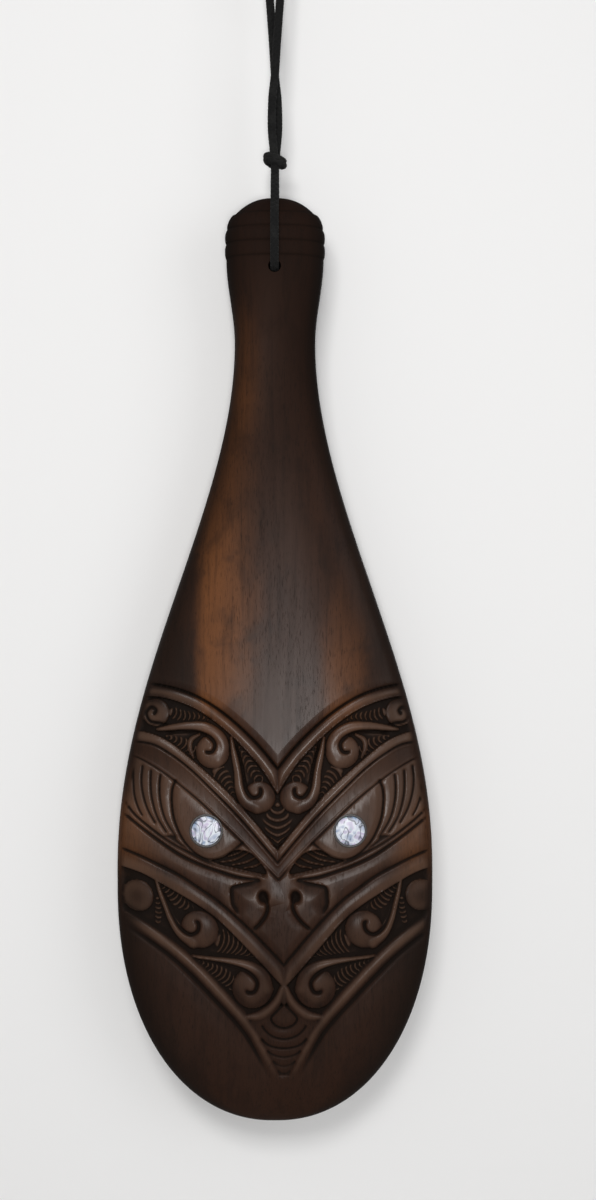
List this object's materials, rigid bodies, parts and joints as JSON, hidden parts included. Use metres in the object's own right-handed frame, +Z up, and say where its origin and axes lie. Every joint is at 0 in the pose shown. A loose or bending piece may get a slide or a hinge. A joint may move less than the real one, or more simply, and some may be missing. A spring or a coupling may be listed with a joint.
{
  "type": "carved hand club",
  "caption": "Short flat wooden hand club with a carved scroll face, round shell inlay eyes, stepped butt bands and a knotted wrist cord it hangs and swings on.",
  "frame": {"origin": "inside the top of the wrist loop, where the peg that it hangs on bears", "axes": "+Z up along the hanging club from tip to butt, +X to the right across the blade, -Y out of the carved face"},
  "size_m": [0.1256, 0.0356, 0.5163],
  "materials": {
    "wood": "dark stained, satin oiled",
    "shell": "polished pearly shell",
    "glue": "dark set glue",
    "cord": "matte black braid"
  },
  "bodies": {
    "cord": {"cord_loop": "cord", "cord_knot": "cord", "cord_lower": "cord"},
    "club": {"club_body": "wood", "eye_shell_left": "shell", "eye_shell_right": "shell", "eye_glue_left": "glue", "eye_glue_right": "glue"}
  },
  "joints": [
    {"name": "club_swing", "type": "hinge", "parent": "cord", "child": "club", "pos_m": [0, 0, -0.1742], "axis": [0, 1, 0], "range_deg": [-110, 110]}
  ]
}
